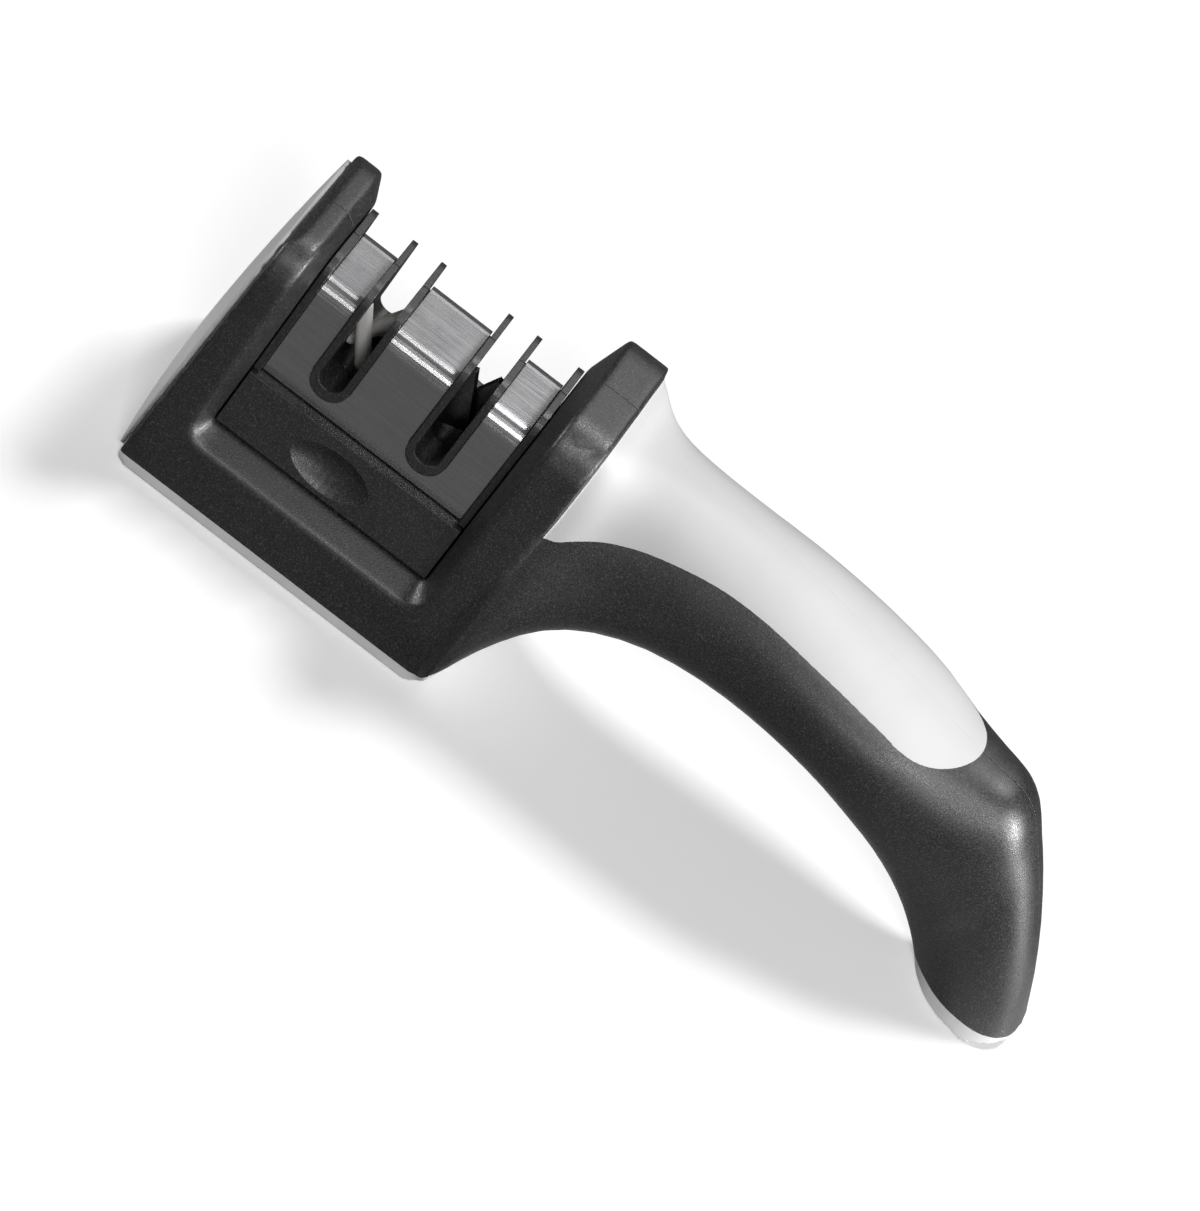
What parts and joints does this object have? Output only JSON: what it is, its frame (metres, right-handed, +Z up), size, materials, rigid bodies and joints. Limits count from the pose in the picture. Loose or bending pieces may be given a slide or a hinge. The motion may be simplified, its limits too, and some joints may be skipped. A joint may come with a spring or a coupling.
{
  "type": "pull through knife sharpener",
  "caption": "Pull-through knife sharpener with a U-shaped head, a lift-out cartridge under a bent steel cover with ceramic rods and carbide blades, and an arched handle on a foot.",
  "frame": {"origin": "on the table plane, at the middle of the whole length and of the depth", "axes": "+X along the length from the head to the handle's tail, +Y from the front to the rear, +Z up"},
  "size_m": [0.2043, 0.0498, 0.0702],
  "materials": {
    "black_plastic": "black moulded plastic with a fine spark-eroded grain",
    "light_plastic": "pale silver-grey moulded plastic, smooth satin",
    "sole_rubber": "pale grey soft rubber, matte",
    "brushed_steel": "brushed stainless sheet",
    "zinc_steel": "zinc-plated screw steel",
    "spring_steel": "rolled spring steel",
    "white_ceramic": null,
    "dark_carbide": "ground tungsten carbide; cast iron stands in for carbide"
  },
  "bodies": {
    "case": {"front_shell": "black_plastic", "rear_shell": "black_plastic", "grip_inlay": "light_plastic", "end_panel": "light_plastic", "base_sole": "sole_rubber", "tail_sole": "sole_rubber", "case_screws": "zinc_steel"},
    "cartridge": {"cartridge_front_housing": "black_plastic", "cartridge_rear_housing": "black_plastic", "cartridge_tray": "black_plastic", "cartridge_screws": "zinc_steel", "steel_cover": "brushed_steel", "front_panel_spring": "spring_steel", "rear_panel_spring": "spring_steel", "front_ceramic_rod": "white_ceramic", "rear_ceramic_rod": "white_ceramic", "rod_holder": "black_plastic", "front_carbide_blade": "dark_carbide", "rear_carbide_blade": "dark_carbide", "blade_holder": "black_plastic", "blade_screws": "zinc_steel"},
    "front_panel": {"front_finger_panel": "black_plastic"},
    "rear_panel": {"rear_finger_panel": "black_plastic"}
  },
  "joints": [
    {"name": "cartridge_lift", "type": "slide", "parent": "case", "child": "cartridge", "axis": [0, 0, 1], "range_m": [0, 0.06]},
    {"name": "front_panel_press", "type": "slide", "parent": "cartridge", "child": "front_panel", "axis": [0, 1, 0], "range_m": [0, 0.0012], "stiffness_N_per_m": 900, "deforming": ["front_panel_spring"]},
    {"name": "rear_panel_press", "type": "slide", "parent": "cartridge", "child": "rear_panel", "axis": [0, -1, 0], "range_m": [0, 0.0012], "stiffness_N_per_m": 900, "deforming": ["rear_panel_spring"]}
  ]
}
